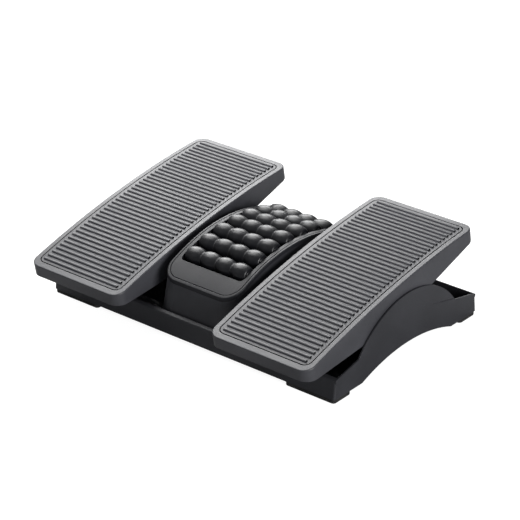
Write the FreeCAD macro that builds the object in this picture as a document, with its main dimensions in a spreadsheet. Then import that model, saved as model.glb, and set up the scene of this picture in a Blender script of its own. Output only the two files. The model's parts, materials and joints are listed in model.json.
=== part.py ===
import FreeCAD, Part
import math
import os
import Sketcher
from FreeCAD import Placement, Rotation, Vector

# Tilting under desk footrest, in millimetres.
# X runs across the user from left to right, Y from the user to the rear, Z up.
# The pieces are shaped about the middle of the tray, on the floor. Each finished piece is then
# moved so that the origin is on the floor at the middle of the footprint, pedals included.

DRIVING_SIZES = (
    # the open tray that stands on the floor
    ("base_width", 446),
    ("base_depth", 288),
    ("rim_height", 30.5),
    ("shoulder_height", 39.7),
    ("hump_top", 88.5),
    ("hump_radius", 122),
    ("end_lean", 2.6),
    ("side_wall", 2.2),
    ("front_wall", 5.4),
    ("rear_wall", 2.8),
    ("floor_thickness", 2.5),
    ("arch_half_span", 90),
    ("arch_rise", 17),
    ("tray_corner", 2.8),
    ("lip_round", 2.4),
    ("crease_start", 30),
    ("crease_height", 57.6),
    ("crease_slope", 13.9),
    ("crease_lean", 1.2),
    ("crease_turn", 0.9),
    # rubber feet
    ("foot_height", 5.5),
    ("foot_width", 73),
    ("foot_depth", 33),
    ("foot_inset", 0.5),
    ("foot_bevel", 1.2),
    ("boss_radius", 4.8),
    ("boss_height", 12),
    # swing of the pedals about a line below the floor
    ("swing_depth", 48),
    ("deck_rise", 151.7),
    ("rest_tilt", 10.68),
    # pedals
    ("pedal_width", 149),
    ("pedal_length", 332.6),
    ("pedal_middle", 145.3),
    ("pedal_corner", 14.5),
    ("deck_radius", 1354),
    ("deck_thickness", 2.6),
    ("rim_round", 1.5),
    ("skirt_wall", 2.5),
    ("skirt_middle", 45),
    ("skirt_end", 26),
    ("web_thickness", 2),
    ("web_depth", 8.5),
    ("web_short", 2),
    ("cross_web_pitch", 48),
    ("long_web_pitch", 21),
    ("carrier_width", 18),
    ("carrier_half_angle", 3.8),
    # ribbed tread panel of each pedal
    ("tread_width", 134.1),
    ("tread_length", 314.6),
    ("tread_corner", 9),
    ("tread_gap", 0.6),
    ("tread_thickness", 2.4),
    ("rib_length", 122),
    ("rib_pitch", 7.56),
    ("rib_radius", 2.4),
    ("rib_rise", 1.8),
    ("peg_radius", 2),
    ("peg_length", 7.5),
    ("peg_side", 60),
    ("peg_angle", 2.4),
    ("peg_end_angle", 5.6),
    ("nut_radius", 4.6),
    ("nut_thickness", 1),
    # curved rails and the shoes that clasp them
    ("rail_spread", 45),
    ("rail_web", 4),
    ("rail_head_width", 14),
    ("rail_head_top", 118),
    ("rail_head_thickness", 5),
    ("rail_angle", 38.4),
    ("rail_foot_width", 20),
    ("rail_foot_half", 60),
    ("rail_foot_thickness", 3),
    ("stop_angle", 2),
    ("stop_rise", 9),
    ("buffer_inset", 1),
    ("shoe_angle", 20),
    ("shoe_half_angle", 4.8),
    ("shoe_wall", 3.7),
    ("shoe_lip", 3.2),
    ("shoe_screw_turn", 2),
    ("glide_gap", 0.3),
    # shroud between the pedals
    ("cover_width", 116.8),
    ("cover_length", 244.4),
    ("cover_corner", 23),
    ("cover_middle", 5),
    ("cover_radius", 235),
    ("cover_top", 105.1),
    ("cover_thickness", 2.4),
    ("cover_edge", 4.5),
    ("cover_round", 1.5),
    ("groove_inset", 3.3),
    ("groove_width", 1),
    ("groove_depth", 1.4),
    ("house_wall", 2.5),
    ("house_flare", 8.9),
    ("flare_level", 66),
    ("post_radius", 4.5),
    ("post_side", 38),
    ("post_reach", 111),
    # rollers and the tub they lie in
    ("opening_width", 98.6),
    ("opening_length", 190.6),
    ("opening_corner", 6.5),
    ("ball_radius", 11.9),
    ("ball_pitch", 23.63),
    ("neck_radius", 9),
    ("hub_radius", 4.5),
    ("hub_length", 1.1),
    ("row_angle", 6.69),
    ("roller_sink", 4.6),
    ("axle_radius", 2),
    ("running_gap", 0.08),
    ("bed_wall", 2.4),
    ("bed_floor", 2),
    ("bed_room", 2.6),
    ("bed_flange", 2),
    # screws
    ("screw_radius", 1.5),
    ("screw_head_radius", 3.2),
    ("screw_head_height", 2.2),
    ("screw_slot_reach", 1.9),
    ("screw_slot_half", 0.5),
    ("screw_slot_depth", 1.2),
    ("head_sink", 1),
    ("low_head_radius", 2.7),
    ("low_head_height", 1.6),
    ("cover_screw_length", 22),
    ("rail_screw_length", 13),
    ("rail_screw_angle", 12),
    ("shoe_screw_length", 10),
    ("screw_gap", 0.02),
    ("pass_gap", 0.2),
    # how far cutting shapes run past what they cut, and joined shapes into each other
    ("cut_margin", 3),
    ("join_depth", 0.5),
)
BALLS_ON_A_ROLLER = 4
ROLLER_ROWS = 7
RIBS_ON_A_PEDAL = 41
CROSS_WEBS = 6
LONG_WEBS = 3
LIP_FULLNESS = 1.2
DEGREES_IN_A_RADIAN = 180 / math.pi

document = FreeCAD.newDocument("footrest")
sheet = document.addObject("Spreadsheet::Sheet", "Sizes")
pieces = []


class Size:
    """A number together with the sheet formula that gives it."""

    def __init__(self, number, text=None):
        self.number = float(number)
        self.text = text if text is not None else repr(float(number))

    def join(self, sign, other, number):
        return Size(number, "(" + self.text + " " + sign + " " + other.text + ")")

    def __add__(self, other):
        other = as_size(other)
        return self.join("+", other, self.number + other.number)

    def __sub__(self, other):
        other = as_size(other)
        return self.join("-", other, self.number - other.number)

    def __mul__(self, other):
        other = as_size(other)
        return self.join("*", other, self.number * other.number)

    def __truediv__(self, other):
        other = as_size(other)
        return self.join("/", other, self.number / other.number)

    def __radd__(self, other):
        return as_size(other) + self

    def __rsub__(self, other):
        return as_size(other) - self

    def __rmul__(self, other):
        return as_size(other) * self

    def __neg__(self):
        return as_size(-1) * self


def as_size(value):
    return value if isinstance(value, Size) else Size(value)


def root(size):
    return Size(math.sqrt(size.number), "sqrt(" + size.text + ")")


def sine(angle):
    angle = as_size(angle)
    return Size(math.sin(math.radians(angle.number)), "sin(" + angle.text + " * 1 deg)")


def cosine(angle):
    angle = as_size(angle)
    return Size(math.cos(math.radians(angle.number)), "cos(" + angle.text + " * 1 deg)")


def leg(radius, other_leg):
    """The second leg of a right triangle, from its long side and one leg."""
    return root(radius * radius - other_leg * other_leg)


def fill_sheet():
    """Write the driving sizes into the sheet and hand them back by name."""
    sizes = {}
    for row, (name, value) in enumerate(DRIVING_SIZES, start=1):
        sheet.set("A" + str(row), name.replace("_", " "))
        sheet.set("B" + str(row), str(value))
        sheet.setAlias("B" + str(row), name)
        sizes[name] = Size(value, "Sizes." + name)
    document.recompute()
    return sizes


S = fill_sheet()

# Places that follow from the driving sizes.
half_width = S["base_width"] / 2
half_depth = S["base_depth"] / 2
hump_centre = S["hump_top"] - S["hump_radius"]
shoulder_reach = leg(S["hump_radius"], S["shoulder_height"] - hump_centre)
arch_radius = (S["arch_half_span"] * S["arch_half_span"] / S["arch_rise"] + S["arch_rise"]) / 2
arch_centre = S["foot_height"] + S["arch_rise"] - arch_radius
floor_level = S["foot_height"] + S["floor_thickness"]
floor_radius = arch_radius + S["floor_thickness"]
floor_reach = leg(floor_radius, floor_level - arch_centre)
swing_level = -S["swing_depth"]
deck_centre = S["deck_rise"] - S["deck_radius"]
deck_end_level = deck_centre + leg(S["deck_radius"], S["pedal_length"] / 2)
front_reach = (S["pedal_length"] / 2 * cosine(S["rest_tilt"])
               + deck_end_level * sine(S["rest_tilt"]))
to_footprint_middle = (front_reach - half_depth) / 2
deck_under = S["tread_thickness"] + S["deck_thickness"]
rail_head_under = S["rail_head_top"] - S["rail_head_thickness"]
shoe_top = S["rail_head_top"] + S["glide_gap"] + S["shoe_wall"]
cover_centre = S["cover_top"] - S["cover_radius"]
house_middle = -S["cover_middle"]
roller_reach = S["cover_radius"] - S["roller_sink"]
bed_depth = S["roller_sink"] + S["ball_radius"] + S["bed_room"]
screw_hole = S["screw_radius"] + S["screw_gap"]
pass_hole = S["screw_radius"] + S["pass_gap"]
shoe_screw_start = S["rail_head_top"] + S["glide_gap"]
shoe_screw_seat = shoe_screw_start + S["low_head_height"] + 2 * S["pass_gap"]
beyond = S["cut_margin"]
join = S["join_depth"]


def bind(thing, name, size):
    thing.setExpression(name, as_size(size).text)


def put(thing, across=0, along=0, up=0, tilt=None):
    """Place a thing, turned by a tilt in degrees about the X direction."""
    start = 1 if tilt is not None else 0
    thing.Placement = Placement(Vector(0, 0, 0), Rotation(Vector(1, 0, 0), start))
    bind(thing, "Placement.Base.x", across)
    bind(thing, "Placement.Base.y", along)
    bind(thing, "Placement.Base.z", up)
    if tilt is not None:
        bind(thing, "Placement.Rotation.Angle", tilt)
    return thing


def piece(thing, label):
    """Name a finished sub-part, put about the footprint's middle, for a file of that name."""
    thing.Label = label + "_form"
    placed = document.addObject("Part::Compound", label)
    placed.Links = [thing]
    placed.Label = label
    pieces.append(put(placed, along=to_footprint_middle))


def body(name):
    return document.addObject("PartDesign::Body", name)


def plane(owner, role):
    for feature in owner.Origin.OriginFeatures:
        if feature.Role == role:
            return feature
    raise ValueError("no plane called " + role)


def sketch_on(owner, role, level=0):
    """A sketch on one of the body's own planes, moved along the plane's normal."""
    sketch = owner.newObject("Sketcher::SketchObject", owner.Name + "_sketch")
    sketch.AttachmentSupport = [(plane(owner, role), "")]
    sketch.MapMode = "FlatFace"
    bind(sketch, "AttachmentOffset.Base.z", level)
    return sketch


def hold(sketch, kind, *where):
    """Add a constraint whose last entry is a size from the sheet."""
    size = as_size(where[-1])
    number = sketch.addConstraint(Sketcher.Constraint(kind, *where[:-1], size.number))
    sketch.setExpression("Constraints[" + str(number) + "]", size.text)


def arc_between(first, last, radius):
    """An arc from first to last; its centre lies on the left if the radius is positive."""
    chord = last - first
    middle = (first + last) / 2
    left = Vector(-chord.y, chord.x, 0).normalize()
    height = math.sqrt(radius * radius - chord.Length * chord.Length / 4)
    centre = middle + left * (height if radius > 0 else -height)
    start, end = (first, last) if radius > 0 else (last, first)
    begin = math.atan2(start.y - centre.y, start.x - centre.x)
    finish = math.atan2(end.y - centre.y, end.x - centre.x)
    return Part.ArcOfCircle(Part.Circle(centre, Vector(0, 0, 1), abs(radius)), begin, finish)


def draw(sketch, corners, arcs=None):
    """Draw a closed outline through the corners, with the sides in arcs made round."""
    arcs = arcs or {}
    corners = [(as_size(across), as_size(up)) for across, up in corners]
    points = [Vector(across.number, up.number, 0) for across, up in corners]
    sides = []
    for place, first in enumerate(points):
        last = points[(place + 1) % len(points)]
        if place in arcs:
            radius = as_size(arcs[place])
            geometry = sketch.addGeometry(arc_between(first, last, radius.number))
            ends = (1, 2) if radius.number > 0 else (2, 1)
            hold(sketch, "Radius", geometry, radius if radius.number > 0 else -radius)
        else:
            geometry = sketch.addGeometry(Part.LineSegment(first, last))
            ends = (1, 2)
        sides.append((geometry, ends))
    for place, (geometry, ends) in enumerate(sides):
        following, next_ends = sides[(place + 1) % len(sides)]
        sketch.addConstraint(
            Sketcher.Constraint("Coincident", geometry, ends[1], following, next_ends[0]))
        hold(sketch, "DistanceX", -1, 1, geometry, ends[0], corners[place][0])
        hold(sketch, "DistanceY", -1, 1, geometry, ends[0], corners[place][1])


def draw_plan(sketch, width, length, corner, middle=0):
    """Draw a rectangle with rounded corners about a point on the Y axis."""
    across = width / 2
    along = length / 2
    front = as_size(middle) - along
    rear = as_size(middle) + along
    corners = [
        (corner - across, front), (across - corner, front),
        (across, front + corner), (across, rear - corner),
        (across - corner, rear), (corner - across, rear),
        (-across, rear - corner), (-across, front + corner),
    ]
    draw(sketch, corners, {1: corner, 3: corner, 5: corner, 7: corner})


def pad(owner, sketch, length, symmetric=False, taper=None):
    feature = owner.newObject("PartDesign::Pad", owner.Name + "_pad")
    feature.Profile = sketch
    bind(feature, "Length", length)
    if symmetric:
        feature.SideType = "Symmetric"
    if taper is not None:
        bind(feature, "TaperAngle", taper)
    return feature


def pocket(owner, sketch, width=None):
    """Cut a sketch out to both sides of its plane, right through or over a width."""
    feature = owner.newObject("PartDesign::Pocket", owner.Name + "_pocket")
    feature.Profile = sketch
    feature.SideType = "Symmetric"
    if width is None:
        feature.Type = "ThroughAll"
    else:
        bind(feature, "Length", width)
    return feature


def round_edges(owner, radius, wanted):
    """Round the edges of the body's last feature that the test picks out."""
    document.recompute()
    base = owner.Tip
    names = []
    for number, edge in enumerate(base.Shape.Edges, start=1):
        if wanted(edge):
            names.append("Edge" + str(number))
    if not names:
        raise ValueError("no edge to round on " + owner.Name)
    feature = owner.newObject("PartDesign::Fillet", owner.Name + "_round")
    feature.Base = (base, names)
    bind(feature, "Radius", radius)
    return feature


def box(name, across, along, up):
    """A box between pairs of limits along X, Y and Z."""
    solid = document.addObject("Part::Box", name)
    limits = [(as_size(low), as_size(high)) for low, high in (across, along, up)]
    for side, (low, high) in zip(("Length", "Width", "Height"), limits):
        bind(solid, side, high - low)
    return put(solid, limits[0][0], limits[1][0], limits[2][0])


def rod(name, radius, height):
    """An upright cylinder."""
    solid = document.addObject("Part::Cylinder", name)
    bind(solid, "Radius", radius)
    bind(solid, "Height", height)
    return solid


def cross_rod(name, radius, length, along=0, up=0):
    """A cylinder along X, centred on the middle plane."""
    solid = rod(name, radius, length)
    solid.Placement = Placement(Vector(0, 0, 0), Rotation(Vector(0, 1, 0), 90))
    bind(solid, "Placement.Base.x", -as_size(length) / 2)
    bind(solid, "Placement.Base.y", along)
    bind(solid, "Placement.Base.z", up)
    return solid


def cut(name, base, *tools):
    result = document.addObject("Part::Cut", name)
    result.Base = base
    result.Tool = tools[0] if len(tools) == 1 else fuse(name + "_tools", *tools)
    return result


def fuse(name, *parts):
    result = document.addObject("Part::MultiFuse", name)
    result.Shapes = list(parts)
    return result


def common(name, base, tool):
    result = document.addObject("Part::Common", name)
    result.Base = base
    result.Tool = tool
    return result


def group(name, *parts):
    """Separate solids kept side by side in one object."""
    result = document.addObject("Part::Compound", name)
    result.Links = list(parts)
    return result


def copy_of(form, label, across=0, along=0, up=0, tilt=None):
    """One more of the same form, at a place of its own."""
    return put(group(label, form), across, along, up, tilt)


def turned(name, form, axis, angle):
    """The form turned by an angle in degrees about an axis through the origin."""
    result = group(name, form)
    result.Placement = Placement(Vector(0, 0, 0), Rotation(axis, 1))
    bind(result, "Placement.Rotation.Angle", angle)
    return result


def sector(name, inner, outer, start, end, width):
    """Part of a ring about the X axis, between two angles from the vertical."""
    inner, outer = as_size(inner), as_size(outer)
    owner = body(name)
    sketch = sketch_on(owner, "YZ_Plane")
    corners = [
        (inner * sine(start), inner * cosine(start)), (outer * sine(start), outer * cosine(start)),
        (outer * sine(end), outer * cosine(end)), (inner * sine(end), inner * cosine(end)),
    ]
    draw(sketch, corners, {1: -outer, 3: inner})
    pad(owner, sketch, width, symmetric=True)
    return owner


def arched_block(name, plan, crown, radius, top, lower, middle=0, edge_round=None):
    """A rounded rectangle whose upper face lies under an arch by the depth top.

    The lower face is ("arch", depth), ("flat", depth) or ("vee", depth, depth at the ends).
    """
    width, length, corner = plan
    crown, radius = as_size(crown), as_size(radius)
    top, middle = as_size(top), as_size(middle)
    kind, depth = lower[0], as_size(lower[1])
    reach = length / 2 + beyond
    front, rear = middle - reach, middle + reach
    centre = crown - radius
    top_end = centre + leg(radius - top, reach)
    low_end = {
        "arch": lambda: centre + leg(radius - depth, reach),
        "flat": lambda: crown - depth,
        "vee": lambda: crown - depth + (depth - lower[2]) / (length / 2) * reach,
    }[kind]()
    ground = (low_end if kind == "arch" else crown - depth) - beyond
    sky = crown - top + beyond
    owner = body(name)
    plan_sketch = sketch_on(owner, "XY_Plane", ground)
    draw_plan(plan_sketch, width, length, corner, middle)
    pad(owner, plan_sketch, sky - ground)
    upper = sketch_on(owner, "YZ_Plane")
    draw(upper, [(front, top_end), (rear, top_end), (rear, sky + beyond), (front, sky + beyond)],
         {0: top - radius})
    pocket(owner, upper)
    below = sketch_on(owner, "YZ_Plane")
    turns = [(middle, crown - depth)] if kind == "vee" else []
    arcs = {0: depth - radius} if kind == "arch" else {}
    draw(below, [(front, low_end)] + turns + [(rear, low_end), (rear, ground - beyond),
                                              (front, ground - beyond)], arcs)
    pocket(owner, below)
    if edge_round is not None:
        round_top(owner, edge_round, radius.number - top.number)
    return owner


def round_top(owner, edge_round, surface_radius):
    """Round the border of the body's arched upper face."""
    document.recompute()
    border = []
    for face in owner.Tip.Shape.Faces:
        surface = face.Surface
        if isinstance(surface, Part.Cylinder) and abs(surface.Radius - surface_radius) < 0.01:
            border.extend(face.Edges)
    round_edges(owner, edge_round, lambda edge: any(edge.isSame(other) for other in border))


def screw(name, length):
    """A cross-head screw along Z whose head rests at the origin and whose tip points up."""
    long_side = S["screw_slot_reach"]
    short_side = S["screw_slot_half"]
    bottom = -S["screw_head_height"]
    shank = rod(name + "_shank", S["screw_radius"], length)
    head = rod(name + "_head", S["screw_head_radius"], S["screw_head_height"])
    put(head, up=bottom)
    slots = []
    for across, along in ((long_side, short_side), (short_side, long_side)):
        slots.append(box(name + "_slot", (-across, across), (-along, along),
                         (bottom - beyond, bottom + S["screw_slot_depth"])))
    return cut(name, fuse(name + "_body", shank, head), *slots)


def tray():
    """The open moulding that stands on the floor, with a hump on each side wall."""
    owner = body("tray_moulding")
    outline = sketch_on(owner, "YZ_Plane")
    top_reach = half_depth - S["end_lean"]
    low = S["foot_height"]
    arch = S["arch_half_span"]
    lip = S["lip_round"]
    high = S["rim_height"]
    slope = (S["shoulder_height"] - high) / (top_reach - shoulder_reach)
    lip_top = high + lip * slope
    lip_radius = lip * LIP_FULLNESS
    draw(outline, [
        (-half_depth, low), (-arch, low), (arch, low), (half_depth, low),
        (top_reach, high - lip), (top_reach - lip, lip_top),
        (shoulder_reach, S["shoulder_height"]), (-shoulder_reach, S["shoulder_height"]),
        (lip - top_reach, lip_top), (-top_reach, high - lip),
    ], {1: -arch_radius, 4: lip_radius, 6: S["hump_radius"], 8: lip_radius})
    pad(owner, outline, S["base_width"], symmetric=True)

    def is_corner(edge):
        middle = edge.CenterOfMass
        leans = abs(edge.tangentAt(edge.FirstParameter).z) > 0.9
        return leans and abs(abs(middle.x) - half_width.number) < 0.1 and abs(middle.y) > top_reach.number

    round_edges(owner, S["tray_corner"], is_corner)
    hollow = sketch_on(owner, "YZ_Plane")
    front = S["front_wall"] - half_depth
    rear = half_depth - S["rear_wall"]
    front_top = front + S["end_lean"]
    rear_top = rear - S["end_lean"]
    above = S["hump_top"] + beyond
    draw(hollow, [
        (front, floor_level), (-floor_reach, floor_level), (floor_reach, floor_level),
        (rear, floor_level), (rear_top, S["rim_height"]), (rear_top, above),
        (front_top, above), (front_top, S["rim_height"]),
    ], {1: -floor_radius})
    pocket(owner, hollow, S["base_width"] - 2 * S["side_wall"])
    return owner


def foot_places():
    across = half_width - S["foot_width"] / 2 - S["foot_inset"]
    along = half_depth - S["foot_depth"] / 2 - S["foot_inset"]
    return [("front_left", -across, -along), ("front_right", across, -along),
            ("rear_left", -across, along), ("rear_right", across, along)]


def post_places():
    return [(side * S["post_side"], house_middle + end * S["post_reach"])
            for side in (-1, 1) for end in (-1, 1)]


def rail_places():
    middle = S["pedal_middle"]
    spread = S["rail_spread"]
    return [("left_outer", -middle - spread), ("left_inner", spread - middle),
            ("right_inner", middle - spread), ("right_outer", middle + spread)]


def crease_cuts():
    """Blocks that set the outer cheeks back above a sloping crease, more so to the rear."""
    high = S["hump_top"]
    cuts = []
    for side in (-1, 1):
        across = (0, high) if side > 0 else (-high, 0)
        block = box("cheek_block", across, (-S["base_depth"], S["base_depth"]), (0, high))
        leaning = turned("cheek_lean", block, Vector(0, 1, 0), -side * S["crease_lean"])
        facing = turned("cheek_turn", leaning, Vector(0, 0, 1), side * S["crease_turn"])
        cuts.append(put(group("cheek_cut", facing), side * half_width, S["crease_start"],
                        S["crease_height"], -S["crease_slope"]))
    return cuts


def base_frame():
    """The tray with its screw bosses and holes."""
    bosses = []
    holes = []
    for name, across, along in foot_places():
        boss = rod("boss_" + name, S["boss_radius"], S["boss_height"])
        bosses.append(put(boss, across, along, floor_level - join))
        hole = rod("boss_hole_" + name, screw_hole, floor_level + S["boss_height"] + beyond)
        holes.append(put(hole, across, along, 0))
    for across, along in post_places():
        holes.append(put(rod("post_hole", pass_hole, floor_level + beyond), across, along, 0))
    for name, across in rail_places():
        for end in (-1, 1):
            hole = rod("rail_hole", pass_hole, floor_radius + beyond)
            holes.append(put(hole, across, 0, arch_centre, end * S["rail_screw_angle"]))
    whole = fuse("tray_with_bosses", tray(), *bosses)
    piece(cut("base_frame_cut", whole, *crease_cuts(), *holes), "base_frame")


def feet():
    """Rubber pads under the corners, each with a sunk screw."""
    form = body("foot_form")
    outline = sketch_on(form, "XY_Plane")
    draw_plan(outline, S["foot_width"], S["foot_depth"], S["tray_corner"])
    pad(form, outline, S["foot_height"])

    def is_sole(edge):
        return edge.BoundBox.ZMax < 0.01

    round_edges(form, S["foot_bevel"], is_sole)
    seat = S["screw_head_height"] + S["head_sink"]
    hole = rod("foot_hole", pass_hole, S["foot_height"] + beyond)
    sink = rod("foot_sink", S["screw_head_radius"] + 2 * S["pass_gap"], seat)
    foot = cut("foot_drilled", form, hole, sink)
    fastener = screw("foot_screw", S["boss_height"])
    screws = []
    for name, across, along in foot_places():
        piece(copy_of(foot, "foot_" + name, across, along, 0), "foot_" + name)
        screws.append(copy_of(fastener, "foot_screw_" + name, across, along, seat))
    piece(group("foot_screws", *screws), "foot_screws")


def centre_housing():
    """The shroud between the pedals: upright above, flared below, open at both ends."""

    def shape(name, inset):
        width = S["cover_width"] - 2 * inset
        length = S["cover_length"] - 2 * inset
        corner = S["cover_corner"] - inset
        upper = body(name + "_upper")
        sketch = sketch_on(upper, "XY_Plane", S["flare_level"])
        draw_plan(sketch, width, length, corner, house_middle)
        pad(upper, sketch, S["cover_top"] - S["flare_level"])
        lower = body(name + "_lower")
        sketch = sketch_on(lower, "XY_Plane", S["flare_level"])
        draw_plan(sketch, width, length, corner, house_middle)
        flare = pad(lower, sketch, S["flare_level"], taper=S["house_flare"])
        flare.Reversed = True
        return fuse(name, upper, lower)

    walls = cut("housing_walls", shape("housing_outside", as_size(0)),
                shape("housing_inside", S["house_wall"]))
    spread = 2 * (S["flare_level"] * sine(S["house_flare"]) + beyond)
    room = arched_block(
        "housing_room", (S["cover_width"] + spread, S["cover_length"] + spread, S["cover_corner"]),
        S["cover_top"], S["cover_radius"], S["cover_edge"], ("flat", S["cover_top"]), house_middle)
    under = body("housing_under")
    sketch = sketch_on(under, "YZ_Plane")
    draw(sketch, [
        (-half_depth, floor_level), (-floor_reach, floor_level), (floor_reach, floor_level),
        (half_depth, floor_level), (half_depth, -beyond), (-half_depth, -beyond),
    ], {1: -floor_radius})
    pad(under, sketch, S["base_width"], symmetric=True)
    trimmed = common("housing_trimmed", walls, room)
    piece(cut("centre_housing_cut", trimmed, under), "centre_housing")


def cover_plan(inset=0):
    inset = as_size(inset)
    return (S["cover_width"] - 2 * inset, S["cover_length"] - 2 * inset, S["cover_corner"] - inset)


def opening_plan(outset=0):
    outset = as_size(outset)
    return (S["opening_width"] + 2 * outset, S["opening_length"] + 2 * outset,
            S["opening_corner"] + outset)


def under_cover(name, plan, top, depth, edge_round=None, kind="arch"):
    """A block that runs parallel to the arched top of the cover."""
    return arched_block(name, plan, S["cover_top"], S["cover_radius"], top, (kind, depth),
                        house_middle, edge_round)


def roller_cover():
    """The arched lid with its border groove, roller opening and screw posts."""
    plate = under_cover("cover_plate", cover_plan(), 0, S["cover_edge"], S["cover_round"])
    inside = under_cover("cover_inside", cover_plan(S["house_wall"]),
                         S["cover_thickness"], S["cover_edge"] + beyond)
    opening = under_cover("cover_opening", opening_plan(), -beyond, S["cover_edge"] + beyond)
    groove_out = under_cover("groove_outside", cover_plan(S["groove_inset"]), -beyond / 2,
                             S["groove_depth"])
    groove_in = under_cover("groove_inside", cover_plan(S["groove_inset"] + S["groove_width"]),
                            -beyond, S["groove_depth"] + beyond)
    groove = cut("groove_ring", groove_out, groove_in)
    skin = cut("cover_skin", plate, inside, opening, groove)
    posts = []
    pilots = []
    pilot_length = S["cover_screw_length"] + join
    for across, along in post_places():
        posts.append(put(rod("cover_post", S["post_radius"], S["cover_top"]), across, along, floor_level))
        pilots.append(put(rod("cover_pilot", screw_hole, pilot_length), across, along, S["foot_height"]))
    shade = under_cover("cover_shade", cover_plan(S["house_wall"]), S["cover_thickness"] / 2,
                        S["cover_top"], kind="flat")
    stems = common("cover_stems", fuse("cover_posts", *posts), shade)
    piece(cut("roller_cover_cut", fuse("cover_with_stems", skin, stems), *pilots), "roller_cover")
    fastener = screw("cover_screw", S["cover_screw_length"])
    screws = [copy_of(fastener, "cover_screw_set", across, along, S["foot_height"])
              for across, along in post_places()]
    piece(group("cover_screws", *screws), "cover_screws")


def roller_places():
    """Angles, distances along Y and heights of the roller rows."""
    places = []
    for row in range(ROLLER_ROWS):
        angle = (row - (ROLLER_ROWS - 1) / 2) * S["row_angle"]
        places.append((house_middle + roller_reach * sine(angle),
                       cover_centre + roller_reach * cosine(angle)))
    return places


def axle_length():
    return S["opening_width"] + 2 * S["bed_wall"]


def roller_bed():
    """The tub below the cover's opening, with slots for the axle ends."""
    tub_out = under_cover("tub_outside", opening_plan(S["bed_wall"]), S["cover_thickness"],
                          bed_depth + S["bed_floor"])
    flange = under_cover("bed_flange", cover_plan(S["house_wall"] + S["glide_gap"]),
                         S["cover_thickness"], S["cover_thickness"] + S["bed_flange"])
    tub_in = under_cover("tub_inside", opening_plan(), S["cover_thickness"] - beyond, bed_depth)
    slots = []
    for along, up in roller_places():
        half = axle_length() / 2
        slots.append(cross_rod("axle_seat", S["axle_radius"], axle_length(), along, up))
        slots.append(box("axle_slot", (-half, half), (along - S["axle_radius"], along + S["axle_radius"]),
                         (up, up + S["roller_sink"] + beyond)))
    for across, along in post_places():
        slots.append(put(rod("flange_hole", S["post_radius"] + S["glide_gap"], S["cover_top"]),
                         across, along, 0))
    piece(cut("roller_bed_cut", fuse("bed_blank", tub_out, flange), tub_in, *slots), "roller_bed")


def roller_form():
    """A row of barrel-shaped lobes on a tube, turned in one piece."""
    owner = body("roller_form")
    sketch = sketch_on(owner, "XY_Plane")
    bore = S["axle_radius"] + S["running_gap"]
    half_pitch = S["ball_pitch"] / 2
    crown = S["ball_radius"] - S["neck_radius"]
    lobe_arc = (half_pitch * half_pitch + crown * crown) / (2 * crown)
    half_row = BALLS_ON_A_ROLLER * half_pitch
    end = half_row + S["hub_length"]
    corners = [(end, bore), (end, S["hub_radius"]), (half_row, S["hub_radius"])]
    arcs = {}
    for joint in range(BALLS_ON_A_ROLLER):
        arcs[len(corners)] = lobe_arc
        corners.append((half_row - joint * S["ball_pitch"], S["neck_radius"]))
    corners += [(-half_row, S["neck_radius"]), (-half_row, S["hub_radius"])]
    corners += [(-end, S["hub_radius"]), (-end, bore)]
    draw(sketch, corners, arcs)
    turn = owner.newObject("PartDesign::Revolution", "roller_turn")
    turn.Profile = sketch
    turn.ReferenceAxis = (plane(owner, "X_Axis"), [""])
    turn.Angle = 360
    return owner


def rollers_and_axles():
    form = roller_form()
    axle = cross_rod("axle_form", S["axle_radius"], axle_length())
    for row, (along, up) in enumerate(roller_places(), start=1):
        label = "roller_axle_" + str(row)
        piece(copy_of(axle, label, 0, along, up), label)
        label = "massage_roller_" + str(row)
        piece(copy_of(form, label, 0, along, up), label)


def glide_rails():
    """Curved rails with a T head, their stops, rubber buffers and screws."""
    inner_top = rail_head_under + join
    reach = inner_top * sine(S["rail_angle"])
    web = body("rail_web")
    sketch = sketch_on(web, "YZ_Plane")
    floor_at_reach = arch_centre + leg(floor_radius, reach)
    head_at_reach = swing_level + leg(inner_top, reach)
    draw(sketch, [(-reach, floor_at_reach), (reach, floor_at_reach), (reach, head_at_reach),
                  (-reach, head_at_reach)], {0: -floor_radius, 2: inner_top})
    pad(web, sketch, S["rail_web"], symmetric=True)
    angle = S["rail_angle"]
    head = put(sector("rail_head", rail_head_under, S["rail_head_top"], -angle, angle,
                      S["rail_head_width"]), up=swing_level)
    stop_top = S["rail_head_top"] + S["stop_rise"]
    stops = []
    for start, end in ((-angle - S["stop_angle"], -angle), (angle, angle + S["stop_angle"])):
        stops.append(put(sector("rail_stop", rail_head_under, stop_top, start, end,
                                S["rail_head_width"]), up=swing_level))
    foot_angle = S["rail_foot_half"] / floor_radius * DEGREES_IN_A_RADIAN
    foot = put(sector("rail_foot", floor_radius, floor_radius + S["rail_foot_thickness"],
                      -foot_angle, foot_angle, S["rail_foot_width"]), up=arch_centre)
    holes = []
    for end in (-1, 1):
        hole = rod("rail_pilot", screw_hole, arch_radius + S["rail_screw_length"] + join)
        holes.append(put(hole, 0, 0, arch_centre, end * S["rail_screw_angle"]))
    form = cut("rail_form", fuse("rail_blank", web, head, foot, *stops), *holes)
    for name, across in rail_places():
        piece(copy_of(form, "glide_rail_" + name, across), "glide_rail_" + name)
    fastener = put(screw("rail_screw", S["rail_screw_length"]), up=arch_radius)
    upright = group("rail_screw_up", fastener)
    screws = [copy_of(upright, "rail_screw_set", across, 0, arch_centre, end * S["rail_screw_angle"])
              for name, across in rail_places() for end in (-1, 1)]
    piece(group("rail_screws", *screws), "rail_screws")
    buffers(angle, stop_top)


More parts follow.
